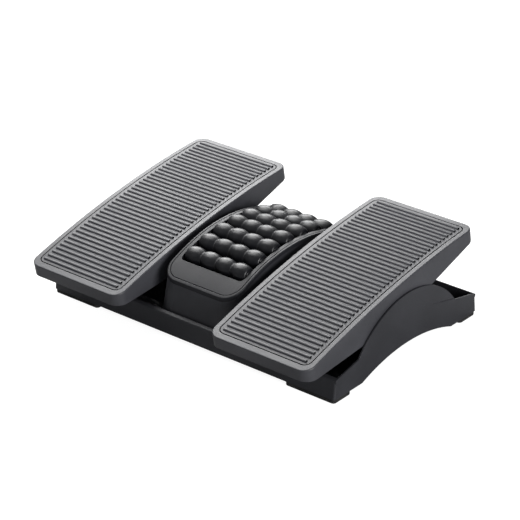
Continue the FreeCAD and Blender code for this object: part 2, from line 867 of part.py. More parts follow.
def buffers(angle, stop_top):
    """Rubber blocks that the shoes come to rest on at both ends of their travel."""
    shoe_end = S["rest_tilt"] + S["shoe_angle"] + S["shoe_half_angle"]
    face = shoe_end + S["glide_gap"] / shoe_top * DEGREES_IN_A_RADIAN
    inset = S["buffer_inset"]
    for kind, start, end in (("heel", -angle, -face), ("toe", face, angle)):
        form = put(sector(kind + "_buffer_form", S["rail_head_top"], stop_top - inset, start, end,
                          S["rail_head_width"] - 2 * inset), up=swing_level)
        for side in ("left", "right"):
            label = kind + "_buffers_" + side
            blocks = [copy_of(form, label + "_block", across)
                      for name, across in rail_places() if name.startswith(side)]
            piece(group(label, *blocks), label)


def deck_block(name, plan, top, lower, edge_round=None):
    """A block that runs parallel to the pedal's deck, about the swing line."""
    return arched_block(name, plan, S["deck_rise"], S["deck_radius"], top, lower,
                        edge_round=edge_round)


def pedal_plan(inset=0):
    inset = as_size(inset)
    return (S["pedal_width"] - 2 * inset, S["pedal_length"] - 2 * inset, S["pedal_corner"] - inset)


def tread_plan(outset=0):
    outset = as_size(outset)
    return (S["tread_width"] + 2 * outset, S["tread_length"] + 2 * outset,
            S["tread_corner"] + outset)


def peg_places():
    """Sideways places and angles about the deck's arc of the tread panel's pegs."""
    return [(side * S["peg_side"], end * angle) for side in (-1, 1) for end in (-1, 1)
            for angle in (S["peg_angle"], S["peg_end_angle"])]


def on_deck(thing, across, angle):
    """Stand a thing, built above the centre of the deck's arc, on that arc."""
    return put(thing, across, 0, deck_centre, angle)


def pedal_webs():
    """Shallow stiffening webs that follow the deck's underside."""
    half_across = S["pedal_width"] / 2 - S["skirt_wall"] / 2
    half_along = S["pedal_length"] / 2 - S["skirt_wall"] / 2
    half_web = S["web_thickness"] / 2
    levels = (swing_level + S["rail_head_top"], S["deck_rise"])
    plates = []
    for number in range(CROSS_WEBS):
        along = (number - (CROSS_WEBS - 1) / 2) * S["cross_web_pitch"]
        plates.append(box("cross_web", (-half_across, half_across),
                          (along - half_web, along + half_web), levels))
    for number in range(LONG_WEBS):
        across = (number - (LONG_WEBS - 1) / 2) * S["long_web_pitch"]
        plates.append(box("long_web", (across - half_web, across + half_web),
                          (-half_along, half_along), levels))
    room = deck_block("web_room", pedal_plan(S["skirt_wall"] / 2), deck_under - join,
                      ("arch", deck_under + S["web_depth"]))
    above_edge = deck_block("web_limit", pedal_plan(S["skirt_wall"] / 2), deck_under - join,
                            ("vee", S["skirt_middle"] - S["web_short"], S["skirt_end"] - S["web_short"]))
    return common("webs_in_room", common("webs_above_edge", fuse("web_plates", *plates), above_edge), room)


def shoe_carriers():
    """Blocks between the deck and the shoes."""
    half = S["carrier_half_angle"]
    outer = S["deck_rise"] / cosine(S["shoe_angle"] + half)
    blocks = []
    for side in (-1, 1):
        for end in (-1, 1):
            middle = end * S["shoe_angle"]
            block = sector("carrier", shoe_top, outer, middle - half, middle + half,
                           S["carrier_width"])
            blocks.append(put(block, side * S["rail_spread"]))
    room = deck_block("carrier_room", pedal_plan(S["skirt_wall"]), deck_under - join,
                      ("flat", S["skirt_middle"] + beyond))
    return common("carrier_set", fuse("carrier_blocks", *blocks), room)


def shoe_screw_angles():
    """Angles of the two screws of a shoe from the shoe's middle."""
    return (-S["shoe_screw_turn"], S["shoe_screw_turn"])


def pedal_shell():
    """Deck, rim and skirt in one moulding, with webs and shoe carriers."""
    outside = deck_block("pedal_outside", pedal_plan(), 0,
                         ("vee", S["skirt_middle"], S["skirt_end"]), S["rim_round"])
    hollow = deck_block("pedal_hollow", pedal_plan(S["skirt_wall"]), deck_under,
                        ("flat", S["skirt_middle"] + beyond))
    recess = deck_block("tread_recess", tread_plan(S["tread_gap"]), -beyond,
                        ("arch", S["tread_thickness"]))
    holes = []
    for across, angle in peg_places():
        hole = rod("peg_hole", S["peg_radius"] + S["pass_gap"], S["deck_radius"] + beyond)
        holes.append(on_deck(hole, across, angle))
    for side in (-1, 1):
        for end in (-1, 1):
            for turn in shoe_screw_angles():
                hole = rod("carrier_pilot", screw_hole, shoe_top + S["shoe_screw_length"])
                holes.append(put(hole, side * S["rail_spread"], 0, 0, end * S["shoe_angle"] + turn))
    skin = cut("pedal_skin", outside, hollow, recess)
    return cut("pedal_shell_form", fuse("pedal_blank", skin, pedal_webs(), shoe_carriers()), *holes)


def tread_panel():
    """Plate with rounded ribs across it and pegs below."""
    plate = deck_block("tread_plate", tread_plan(), 0, ("arch", S["tread_thickness"]))
    radius = S["rib_radius"]
    bar = cross_rod("rib_bar", radius, S["rib_length"])
    upper_half = box("rib_upper_half", (-S["rib_length"], S["rib_length"]), (-radius, radius), (0, radius))
    sink = S["deck_radius"] + S["rib_rise"] - radius
    bar_up = group("rib_up", put(group("half_rib_up", common("half_rib", bar, upper_half)), up=sink))
    step = S["rib_pitch"] / S["deck_radius"] * DEGREES_IN_A_RADIAN
    parts = [plate]
    for number in range(RIBS_ON_A_PEDAL):
        angle = (number - (RIBS_ON_A_PEDAL - 1) / 2) * step
        parts.append(on_deck(group("rib", bar_up), 0, angle))
    for across, angle in peg_places():
        peg = put(rod("peg_blank", S["peg_radius"], S["peg_length"]),
                  up=S["deck_radius"] - S["peg_length"] - join)
        parts.append(on_deck(group("peg", peg), across, angle))
    return fuse("tread_panel_form", *parts)


def tread_nuts():
    """Push-on nuts that hold the tread panel's pegs under the deck."""
    disc = rod("nut_disc", S["nut_radius"], S["nut_thickness"])
    hole = rod("nut_hole", S["peg_radius"] + S["screw_gap"], S["nut_thickness"])
    seat = S["deck_radius"] - deck_under - S["pass_gap"]
    nut = put(cut("nut", disc, hole), up=seat - S["nut_thickness"])
    lifted = group("nut_up", nut)
    return group("tread_nut_set", *[on_deck(group("nut_set", lifted), across, angle)
                                    for across, angle in peg_places()])


def glide_shoe():
    """A shoe that wraps the rail's head, at the top of the swing circle."""
    half = S["shoe_half_angle"]
    gap = S["glide_gap"]
    width = S["rail_head_width"] + 2 * gap + 2 * S["shoe_wall"]
    low = rail_head_under - gap - S["shoe_lip"]
    past = half + beyond
    block = sector("shoe_block", low, shoe_top, -half, half, width)
    head_room = sector("shoe_head_room", rail_head_under - gap, S["rail_head_top"] + gap,
                       -past, past, S["rail_head_width"] + 2 * gap)
    web_room = sector("shoe_web_room", low - beyond, rail_head_under, -past, past,
                      S["rail_web"] + 2 * gap)
    holes = []
    for turn in shoe_screw_angles():
        holes.append(put(rod("shoe_hole", pass_hole, shoe_top + beyond), 0, 0, 0, turn))
        sink = rod("shoe_sink", S["low_head_radius"] + S["pass_gap"], shoe_screw_seat)
        holes.append(put(sink, 0, 0, 0, turn))
    return cut("glide_shoe_form", block, head_room, web_room, *holes)


def shoe_screws():
    """Low-head screws that hold the shoes to their carriers."""
    height = S["low_head_height"]
    shank = put(rod("shoe_screw_shank", S["screw_radius"], S["shoe_screw_length"]),
                up=shoe_screw_seat - height)
    head = put(rod("shoe_screw_head", S["low_head_radius"], height), up=shoe_screw_seat - height)
    lifted = group("shoe_screw_up", fuse("shoe_screw", shank, head))
    screws = []
    for side in (-1, 1):
        for end in (-1, 1):
            for turn in shoe_screw_angles():
                screws.append(put(group("shoe_screw_set", lifted), side * S["rail_spread"], 0, 0,
                                  end * S["shoe_angle"] + turn))
    return group("shoe_screw_group", *screws)


def pedals():
    """Both pedals: the same pieces twice, tilted to where gravity rests them."""
    forms = {"pedal_shell": pedal_shell(), "tread_panel": tread_panel(),
             "tread_nuts": tread_nuts(), "shoe_screws": shoe_screws()}
    shoe = glide_shoe()
    for side, across in (("left", -S["pedal_middle"]), ("right", S["pedal_middle"])):
        for name, form in forms.items():
            label = name + "_" + side
            piece(copy_of(form, label, across, 0, swing_level, S["rest_tilt"]), label)
        for end, turn in (("heel", S["shoe_angle"]), ("toe", -S["shoe_angle"])):
            for place, rail_across in rail_places():
                if place.startswith(side):
                    label = "glide_shoe_" + place + "_" + end
                    piece(copy_of(shoe, label, rail_across, 0, swing_level, S["rest_tilt"] + turn), label)


def solids_of(thing):
    """The shape to write: the bare solid if there is one, or the group of them."""
    shape = thing.Shape
    return shape.Solids[0] if len(shape.Solids) == 1 else shape


def write_parts():
    document.recompute()
    broken = [thing.Label for thing in document.Objects
              if "Invalid" in thing.State or "Error" in thing.State]
    if broken:
        raise RuntimeError("not built: " + ", ".join(broken))
    os.makedirs("parts", exist_ok=True)
    for thing in pieces:
        shape = solids_of(thing)
        if shape.isNull() or not shape.isValid() or not shape.Solids:
            raise RuntimeError("not a sound solid: " + thing.Label)
        shape.exportStep(os.path.join("parts", thing.Label + ".step"))


base_frame()
feet()
centre_housing()
roller_cover()
roller_bed()
rollers_and_axles()
glide_rails()
pedals()
write_parts()
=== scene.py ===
import json
import logging
import math
from dataclasses import dataclass, field
from enum import Enum

import bmesh
import bpy
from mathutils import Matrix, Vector


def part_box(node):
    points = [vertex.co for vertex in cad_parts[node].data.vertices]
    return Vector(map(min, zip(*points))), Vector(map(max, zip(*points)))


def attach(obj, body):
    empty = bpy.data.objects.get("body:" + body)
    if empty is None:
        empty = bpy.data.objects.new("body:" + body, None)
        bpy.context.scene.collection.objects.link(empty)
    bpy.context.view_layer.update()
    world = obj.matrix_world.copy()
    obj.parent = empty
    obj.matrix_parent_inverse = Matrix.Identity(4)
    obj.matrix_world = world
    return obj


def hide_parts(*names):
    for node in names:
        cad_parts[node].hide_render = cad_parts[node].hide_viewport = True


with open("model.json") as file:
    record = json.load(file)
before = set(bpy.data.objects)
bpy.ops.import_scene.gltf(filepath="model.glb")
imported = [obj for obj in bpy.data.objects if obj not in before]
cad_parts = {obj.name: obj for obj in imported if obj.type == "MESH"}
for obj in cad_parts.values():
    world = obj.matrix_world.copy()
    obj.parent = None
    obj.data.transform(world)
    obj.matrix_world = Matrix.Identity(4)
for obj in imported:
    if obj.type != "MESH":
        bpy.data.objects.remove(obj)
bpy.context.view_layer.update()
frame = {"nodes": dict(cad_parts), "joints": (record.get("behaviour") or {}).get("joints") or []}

# The looks of a tilting under desk footrest: two ribbed pedals that swing in an open tray, either side
# of an arched housing that carries seven rows of massage rollers. All lengths are in metres.

log = logging.getLogger("footrest")

REST_TILT = math.radians(10.68)     # slope of the pedals at rest
SWING_DEPTH = 0.048                 # depth of their swing line below the floor
FOOTPRINT_SHIFT = 0.0228165         # how far the tray's middle lies behind the footprint's

Colour = tuple[float, float, float]
Point = tuple[float, float, float]


class Side(Enum):
    """The two sides of the footrest, as the user sees them."""

    LEFT = "left"
    RIGHT = "right"


class Gloss(Enum):
    """How smooth a moulding comes out of its tool, as a roughness."""

    SATIN = 0.34
    FINE_TEXTURE = 0.46
    COARSE_TEXTURE = 0.58
    RUBBERY = 0.7


class Wiring:
    """Adds nodes to a node tree and joins them."""

    def __init__(self, tree: bpy.types.NodeTree) -> None:
        """Keep the tree that the nodes go into.

        Args:
            tree: The material's or group's node tree.
        """
        self.tree = tree

    def add(self, kind: str, **settings: object) -> bpy.types.Node:
        """Add one node and set its properties.

        Args:
            kind: The node's type without the ShaderNode prefix.
            **settings: Properties of the node, by name.

        Returns:
            The new node.
        """
        node = self.tree.nodes.new("ShaderNode" + kind)
        for name, value in settings.items():
            setattr(node, name, value)
        return node

    def feed(self, target: bpy.types.NodeSocket, value: object) -> None:
        """Give a socket a link if the value is an output, and a plain value otherwise.

        Args:
            target: The input socket.
            value: An output socket, a number or a colour.
        """
        if isinstance(value, bpy.types.NodeSocket):
            self.tree.links.new(value, target)
        else:
            target.default_value = value

    def sum(self, kind: str, first: object, second: object = 0.0, third: object = 0.0,
            clamp: bool = False) -> bpy.types.NodeSocket:
        """Work out a number from up to three others.

        Args:
            kind: The operation, such as MULTIPLY or ADD.
            first: The first number or output.
            second: The second number or output.
            third: The third number or output, where the operation has one.
            clamp: Whether the result is kept between 0 and 1.

        Returns:
            The output that holds the result.
        """
        node = self.add("Math", operation=kind, use_clamp=clamp)
        for socket, value in zip(node.inputs, (first, second, third)):
            self.feed(socket, value)
        return node.outputs[0]

    def ramp(self, value: object, low: float, high: float) -> bpy.types.NodeSocket:
        """Stretch a value smoothly from 0 at low to 1 at high.

        Args:
            value: The value or output to stretch.
            low: The value that becomes 0.
            high: The value that becomes 1.

        Returns:
            The output with the stretched value.
        """
        node = self.add("MapRange", interpolation_type="SMOOTHSTEP")
        self.feed(node.inputs["Value"], value)
        node.inputs["From Min"].default_value = low
        node.inputs["From Max"].default_value = high
        return node.outputs["Result"]

    def noise(self, where: bpy.types.NodeSocket, scale: object, detail: float = 2.0,
              roughness: float = 0.5) -> bpy.types.NodeSocket:
        """Add a noise pattern.

        Args:
            where: The coordinates it is drawn over.
            scale: Its scale, in features to the metre.
            detail: How many finer layers it has.
            roughness: How strong the finer layers are.

        Returns:
            The output with the pattern's value.
        """
        node = self.add("TexNoise")
        self.feed(node.inputs["Vector"], where)
        self.feed(node.inputs["Scale"], scale)
        node.inputs["Detail"].default_value = detail
        node.inputs["Roughness"].default_value = roughness
        return node.outputs["Fac"]

    def blend(self, share: object, first: object, second: object, kind: str = "MIX") -> bpy.types.NodeSocket:
        """Mix two colours.

        Args:
            share: How much of the second shows.
            first: The first colour or output.
            second: The second colour or output.
            kind: The way of mixing.

        Returns:
            The output with the mixed colour.
        """
        node = self.add("Mix", data_type="RGBA", blend_type=kind)
        self.feed(node.inputs["Factor"], share)
        for name, value in (("A", first), ("B", second)):
            socket = next(s for s in node.inputs if s.name == name and s.type == "RGBA")
            self.feed(socket, (*value, 1.0) if isinstance(value, tuple) else value)
        return next(s for s in node.outputs if s.type == "RGBA")


@dataclass(frozen=True)
class Effect:
    """A shader node group with named inputs and outputs, built once and placed in many materials."""

    name: str
    inputs: tuple[tuple[str, float], ...]
    outputs: tuple[str, ...]

    def group(self) -> bpy.types.NodeTree:
        """Find the group, or build it the first time.

        Returns:
            The group's node tree.
        """
        tree = bpy.data.node_groups.get(self.name)
        if tree is None:
            tree = bpy.data.node_groups.new(self.name, "ShaderNodeTree")
            for name, value in self.inputs:
                socket = tree.interface.new_socket(name, in_out="INPUT", socket_type="NodeSocketFloat")
                socket.default_value = value
            for name in self.outputs:
                tree.interface.new_socket(name, in_out="OUTPUT", socket_type="NodeSocketFloat")
            wiring = Wiring(tree)
            given = tree.nodes.new("NodeGroupInput")
            shown = tree.nodes.new("NodeGroupOutput")
            self.wire(wiring, given.outputs, shown.inputs)
        return tree

    def wire(self, wiring: Wiring, given: bpy.types.bpy_prop_collection,
             shown: bpy.types.bpy_prop_collection) -> None:
        """Build the inside of the group; each kind of effect has its own.

        Args:
            wiring: What adds the nodes.
            given: The group's inputs, by name.
            shown: The group's outputs, by name.
        """
        raise NotImplementedError

    def place(self, wiring: Wiring, **values: float) -> bpy.types.bpy_prop_collection:
        """Place the group in a material.

        Args:
            wiring: The material's wiring.
            **values: The group's inputs, with underscores in place of spaces.

        Returns:
            The group node's outputs.
        """
        node = wiring.add("Group", node_tree=self.group())
        for name, value in values.items():
            wiring.feed(node.inputs[name.replace("_", " ")], value)
        return node.outputs


class MouldGrain(Effect):
    """The spark-eroded grain of a mould, with the slow drift in tone of thick plastic walls."""

    PIT_SPAN = (0.1, 0.75)
    PIT_SHARE = 0.55
    ROUGH_SHARE = 0.45
    ROUGH_SCALE = 0.55
    SPECKLE_SPAN = (0.3, 0.7)
    DRIFT_SPAN = (0.32, 0.68)

    def wire(self, wiring: Wiring, given: bpy.types.bpy_prop_collection,
             shown: bpy.types.bpy_prop_collection) -> None:
        """Lay fine pits over a middling waviness.

        Args:
            wiring: What adds the nodes.
            given: Pitch, the width of one grain in metres, and Drift Width, of one tone patch.
            shown: Height of the grain, Speckle of its tone, and Drift of the wall's tone.
        """
        where = wiring.add("TexCoord").outputs["Object"]
        fine = wiring.sum("DIVIDE", 1.0, given["Pitch"])
        cells = wiring.add("TexVoronoi", feature="SMOOTH_F1")
        wiring.feed(cells.inputs["Vector"], where)
        wiring.feed(cells.inputs["Scale"], fine)
        pits = wiring.ramp(cells.outputs["Distance"], *self.PIT_SPAN)
        rough = wiring.noise(where, wiring.sum("MULTIPLY", fine, self.ROUGH_SCALE), 4.0, 0.6)
        height = wiring.sum("ADD", wiring.sum("MULTIPLY", pits, self.PIT_SHARE),
                            wiring.sum("MULTIPLY", rough, self.ROUGH_SHARE))
        wiring.feed(shown["Height"], height)
        wiring.feed(shown["Speckle"], wiring.ramp(height, *self.SPECKLE_SPAN))
        broad = wiring.noise(where, wiring.sum("DIVIDE", 1.0, given["Drift Width"]), 3.0, 0.55)
        wiring.feed(shown["Drift"], wiring.ramp(broad, *self.DRIFT_SPAN))


class WornEdge(Effect):
    """A mask that is high along outer edges, broken up as real rubbing is."""

    EDGE_SPAN = (0.01, 0.16)
    PATCH_SCALE = 140.0
    PATCH_SPAN = (0.42, 0.62)

    def wire(self, wiring: Wiring, given: bpy.types.bpy_prop_collection,
             shown: bpy.types.bpy_prop_collection) -> None:
        """Compare the true normal with one that is rounded over the edges.

        Args:
            wiring: What adds the nodes.
            given: Reach of the rubbing in metres.
            shown: Edge, the whole mask, and Rubbed, the mask broken up.
        """
        soft = wiring.add("Bevel", samples=4)
        wiring.feed(soft.inputs["Radius"], given["Reach"])
        flat = wiring.add("NewGeometry").outputs["Normal"]
        same = wiring.add("VectorMath", operation="DOT_PRODUCT")
        wiring.feed(same.inputs[0], soft.outputs["Normal"])
        wiring.feed(same.inputs[1], flat)
        edge = wiring.ramp(wiring.sum("SUBTRACT", 1.0, same.outputs["Value"]), *self.EDGE_SPAN)
        where = wiring.add("TexCoord").outputs["Object"]
        patches = wiring.ramp(wiring.noise(where, self.PATCH_SCALE, 5.0, 0.65), *self.PATCH_SPAN)
        wiring.feed(shown["Edge"], edge)
        wiring.feed(shown["Rubbed"], wiring.sum("MULTIPLY", edge, patches))


class SettledDust(Effect):
    """A mask of the little dust that lies on faces that look up."""

    UP_SPAN = (0.2, 0.95)
    FILM_SCALE = 38.0
    FILM_SPAN = (0.35, 0.75)
    FILM_SHARE = 0.6
    SPECK_SCALE = 1500.0
    SPECK_SPAN = (0.7, 0.8)

    def wire(self, wiring: Wiring, given: bpy.types.bpy_prop_collection,
             shown: bpy.types.bpy_prop_collection) -> None:
        """Take the upward share of the normal and break it into specks and films.

        Args:
            wiring: What adds the nodes.
            given: Amount of dust, from 0 to 1.
            shown: Dust, the mask.
        """
        geometry = wiring.add("NewGeometry")
        parts = wiring.add("SeparateXYZ")
        wiring.feed(parts.inputs[0], geometry.outputs["Normal"])
        up = wiring.ramp(parts.outputs["Z"], *self.UP_SPAN)
        where = wiring.add("TexCoord").outputs["Object"]
        film = wiring.ramp(wiring.noise(where, self.FILM_SCALE, 4.0, 0.6), *self.FILM_SPAN)
        specks = wiring.ramp(wiring.noise(where, self.SPECK_SCALE, 1.0, 0.5), *self.SPECK_SPAN)
        laid = wiring.sum("MAXIMUM", wiring.sum("MULTIPLY", film, self.FILM_SHARE), specks)
        wiring.feed(shown["Dust"],
                    wiring.sum("MULTIPLY", wiring.sum("MULTIPLY", laid, up), given["Amount"]))


class DrawnLines(Effect):
    """Fine lines along X, as drawing and turning leave them on metal."""

    TONE_SPAN = (0.3, 0.7)

    def wire(self, wiring: Wiring, given: bpy.types.bpy_prop_collection,
             shown: bpy.types.bpy_prop_collection) -> None:
        """Stretch a fine noise along X.

        Args:
            wiring: What adds the nodes.
            given: Pitch, the width of one line in metres, and Stretch, its length in widths.
            shown: Height of the lines and Tone of the metal between them.
        """
        where = wiring.add("TexCoord").outputs["Object"]
        squeeze = wiring.add("CombineXYZ")
        wiring.feed(squeeze.inputs["X"], wiring.sum("DIVIDE", 1.0, given["Stretch"]))
        squeeze.inputs["Y"].default_value = 1.0
        squeeze.inputs["Z"].default_value = 1.0
        long_way = wiring.add("VectorMath", operation="MULTIPLY")
        wiring.feed(long_way.inputs[0], where)
        wiring.feed(long_way.inputs[1], squeeze.outputs[0])
        fine = wiring.sum("DIVIDE", 1.0, given["Pitch"])
        lines = wiring.noise(long_way.outputs[0], fine, 3.0, 0.7)
        wiring.feed(shown["Height"], lines)
        wiring.feed(shown["Tone"], wiring.ramp(lines, *self.TONE_SPAN))


class PanelMarks(Effect):
    """Masks of the painted shadow line round a tread panel and of the painted shade on the sideways-facing
    ends of its ribs.
    """

    LINE_SPAN = (0.0006, 0.0011)
    SIDEWAYS_SPAN = (0.6, 0.9)

    def wire(self, wiring: Wiring, given: bpy.types.bpy_prop_collection,
             shown: bpy.types.bpy_prop_collection) -> None:
        """Measure how far a point lies from the panel's rounded outline.

        Args:
            wiring: What adds the nodes.
            given: Middle of a pedal across, half Width and half Length of the panel, its Corner, and the
                Cosine and Sine of the pedal's tilt with the Shift of its swing line along the deck.
            shown: Line, the mask of the painted shadow line along the outline, and Rib End Shade, the mask of
                painted shade on faces that look sideways, such as the ends of the ribs.
        """
        parts = wiring.add("SeparateXYZ")
        wiring.feed(parts.inputs[0], wiring.add("TexCoord").outputs["Object"])
        across = wiring.sum("SUBTRACT", wiring.sum("ABSOLUTE", parts.outputs["X"]), given["Middle"])
        level = wiring.sum("MULTIPLY", parts.outputs["Y"], given["Cosine"])
        raised = wiring.sum("MULTIPLY_ADD", parts.outputs["Z"], given["Sine"], given["Shift"])
        along = wiring.sum("ADD", level, raised)
        past = []
        for place, reach in ((across, given["Width"]), (along, given["Length"])):
            edge = wiring.sum("SUBTRACT", reach, given["Corner"])
            beyond = wiring.sum("SUBTRACT", wiring.sum("ABSOLUTE", place), edge)
            past.append(wiring.sum("MAXIMUM", beyond, 0.0))
        squares = [wiring.sum("MULTIPLY", part, part) for part in past]
        from_corner = wiring.sum("SQRT", wiring.sum("ADD", squares[0], squares[1]))
        inward = wiring.sum("SUBTRACT", given["Corner"], from_corner)
        wiring.feed(shown["Line"], wiring.sum("SUBTRACT", 1.0, wiring.ramp(inward, *self.LINE_SPAN)))
        # painted shade: faces that look sideways, such as the ends of the ribs, are masked to be coloured
        # near black
        facing = wiring.add("SeparateXYZ")
        wiring.feed(facing.inputs[0], wiring.add("NewGeometry").outputs["True Normal"])
        sideways = wiring.sum("ABSOLUTE", facing.outputs["X"])
        wiring.feed(shown["Rib End Shade"], wiring.ramp(sideways, *self.SIDEWAYS_SPAN))


GRAIN = MouldGrain("mould_grain", (("Pitch", 0.0006), ("Drift Width", 0.05)), ("Height", "Speckle", "Drift"))
EDGES = WornEdge("worn_edge", (("Reach", 0.0008),), ("Edge", "Rubbed"))
DUST = SettledDust("settled_dust", (("Amount", 0.1),), ("Dust",))
# painted shade for the tread panels: a shadow line round the outline and shaded rib ends
PANEL_PAINTED_SHADE = PanelMarks("panel_painted_shade",
                   (("Middle", 0.1453), ("Width", 0.06705), ("Length", 0.1573), ("Corner", 0.009),
                    ("Cosine", math.cos(REST_TILT)), ("Sine", math.sin(REST_TILT)),
                    ("Shift", SWING_DEPTH * math.sin(REST_TILT) - FOOTPRINT_SHIFT * math.cos(REST_TILT))),
                   ("Line", "Rib End Shade"))
LINES = DrawnLines("drawn_lines", (("Pitch", 0.0002), ("Stretch", 40.0)), ("Height", "Tone"))


@dataclass(frozen=True)
class Finish:
    """What all finishes share: a name and one material, made when it is first asked for."""

    name: str

    def material(self) -> bpy.types.Material:
        """Find the material, or make it the first time.

        Returns:
            The finished material.
        """
        label = "finished_" + self.name
        found = bpy.data.materials.get(label)
        if found is None:
            found = bpy.data.materials.new(label)
            found.use_nodes = True
            found.node_tree.nodes.clear()
            wiring = Wiring(found.node_tree)
            surface = wiring.add("BsdfPrincipled")
            end = wiring.add("OutputMaterial")
            wiring.feed(end.inputs["Surface"], surface.outputs["BSDF"])
            self.wire(wiring, surface.inputs)
        return found

    def wire(self, wiring: Wiring, surface: bpy.types.bpy_prop_collection) -> None:
        """Feed the shader; each kind of finish has its own way.

        Args:
            wiring: The material's wiring.
            surface: The inputs of the Principled shader.
        """
        raise NotImplementedError

    def dress(self, piece: bpy.types.Object) -> None:
        """Give a piece this finish all over.

        Args:
            piece: A mesh object.
        """
        piece.data.materials.clear()
        piece.data.materials.append(self.material())


@dataclass(frozen=True)
class MouldedPlastic(Finish):
    """Moulded plastic with a mould grain, rounded edges that shine, and a trace of dust."""

    colour: Colour
    gloss: Gloss = Gloss.FINE_TEXTURE
    shine: float = 0.5
    grain_pitch: float = 0.0007
    grain_height: float = 0.00003
    drift: float = 0.12
    edge_tone: float = 1.5
    edge_round: float = 0.0005
    dust: float = 0.05
    drift_width: float = 0.06
    pit_tone: float = 0.12
    rub_tone: float = 0.55
    edge_smooth: float = 0.08
    gloss_spread: float = 0.05
    dust_dull: float = 0.5
    dust_colour: Colour = (0.32, 0.31, 0.29)

    def wire(self, wiring: Wiring, surface: bpy.types.bpy_prop_collection) -> None:
        """Feed colour, roughness and normal from the grain, edge and dust groups.

        Args:
            wiring: The material's wiring.
            surface: The inputs of the Principled shader.
        """
        grain = GRAIN.place(wiring, Pitch=self.grain_pitch, Drift_Width=self.drift_width)
        edges = EDGES.place(wiring, Reach=2.0 * self.edge_round)
        dust = DUST.place(wiring, Amount=self.dust)
        darker = tuple(part * (1.0 - self.drift) for part in self.colour)
        lighter = tuple(part * (1.0 + self.drift) for part in self.colour)
        rubbed = tuple(min(1.0, part * self.edge_tone) for part in self.colour)
        base = wiring.blend(grain["Drift"], darker, lighter)
        pitted = wiring.blend(wiring.sum("MULTIPLY", grain["Speckle"], self.pit_tone), base, darker)
        worn = wiring.blend(wiring.sum("MULTIPLY", edges["Rubbed"], self.rub_tone), pitted, rubbed)
        dusty = wiring.blend(dust["Dust"], worn, self.dust_colour)
        wiring.feed(surface["Base Color"], dusty)
        smooth = wiring.sum("MULTIPLY", edges["Edge"], -self.edge_smooth)
        uneven = wiring.sum("MULTIPLY_ADD", grain["Drift"], self.gloss_spread,
                            self.gloss.value - self.gloss_spread / 2)
        dull = wiring.sum("MULTIPLY_ADD", dust["Dust"], self.dust_dull, uneven)
        wiring.feed(surface["Roughness"], wiring.sum("ADD", dull, smooth, clamp=True))
        surface["Specular IOR Level"].default_value = self.shine
        rounded = wiring.add("Bevel", samples=6)
        rounded.inputs["Radius"].default_value = self.edge_round
        bump = wiring.add("Bump")
        bump.inputs["Strength"].default_value = 1.0
        bump.inputs["Distance"].default_value = self.grain_height
        wiring.feed(bump.inputs["Height"], grain["Height"])
        wiring.feed(bump.inputs["Normal"], rounded.outputs["Normal"])
        wiring.feed(surface["Normal"], bump.outputs["Normal"])


@dataclass(frozen=True)
class RibbedPlastic(MouldedPlastic):
    """The plastic of a tread panel, with a painted shadow line near black along its outline and painted shade
    near black on the ends of its ribs.
    """

    shadow: Colour = (0.002, 0.002, 0.0022)

    def wire(self, wiring: Wiring, surface: bpy.types.bpy_prop_collection) -> None:
        """Paint shade into the moulded plastic: near black, and with less shine, along the panel's outline
        and on the sideways ends of its ribs.

        Args:
            wiring: The material's wiring.
            surface: The inputs of the Principled shader.
        """
        super().wire(wiring, surface)
        # painted shade: near black as a shadow line along the panel's outline and on the rib ends that face
        # sideways
        marks = PANEL_PAINTED_SHADE.place(wiring)
        dark = wiring.sum("MAXIMUM", marks["Line"], marks["Rib End Shade"])
        plain = surface["Base Color"].links[0].from_socket
        wiring.feed(surface["Base Color"], wiring.blend(dark, plain, self.shadow))
        wiring.feed(surface["Specular IOR Level"],
                    wiring.sum("MULTIPLY", wiring.sum("SUBTRACT", 1.0, dark), self.shine))


@dataclass(frozen=True)
class PolishedLobes(Finish):
    """Satin black plastic with hand-polished high spots and faint handling marks."""

    colour: Colour
    roughness: float = 0.3
    shine: float = 0.5
    lighten: float = 1.35
    scuff_spread: float = 0.07
    grain_height: float = 0.000012
    dust_dull: float = 0.4
    dust_colour: Colour = (0.3, 0.29, 0.28)

    def wire(self, wiring: Wiring, surface: bpy.types.bpy_prop_collection) -> None:
        """Feed a nearly even colour, and a roughness broken up by fine scuffs.

        Args:
            wiring: The material's wiring.
            surface: The inputs of the Principled shader.
        """
        grain = GRAIN.place(wiring, Pitch=0.0009, Drift_Width=0.02)
        scuffs = LINES.place(wiring, Pitch=0.0006, Stretch=9.0)
        dust = DUST.place(wiring, Amount=0.05)
        lighter = tuple(part * self.lighten for part in self.colour)
        base = wiring.blend(grain["Drift"], self.colour, lighter)
        wiring.feed(surface["Base Color"], wiring.blend(dust["Dust"], base, self.dust_colour))
        rubbed = wiring.sum("MULTIPLY_ADD", scuffs["Tone"], self.scuff_spread,
                            self.roughness - self.scuff_spread / 2)
        wiring.feed(surface["Roughness"],
                    wiring.sum("MULTIPLY_ADD", dust["Dust"], self.dust_dull, rubbed, clamp=True))
        surface["Specular IOR Level"].default_value = self.shine
        bump = wiring.add("Bump")
        bump.inputs["Strength"].default_value = 1.0
        bump.inputs["Distance"].default_value = self.grain_height
        wiring.feed(bump.inputs["Height"], grain["Height"])
        wiring.feed(surface["Normal"], bump.outputs["Normal"])


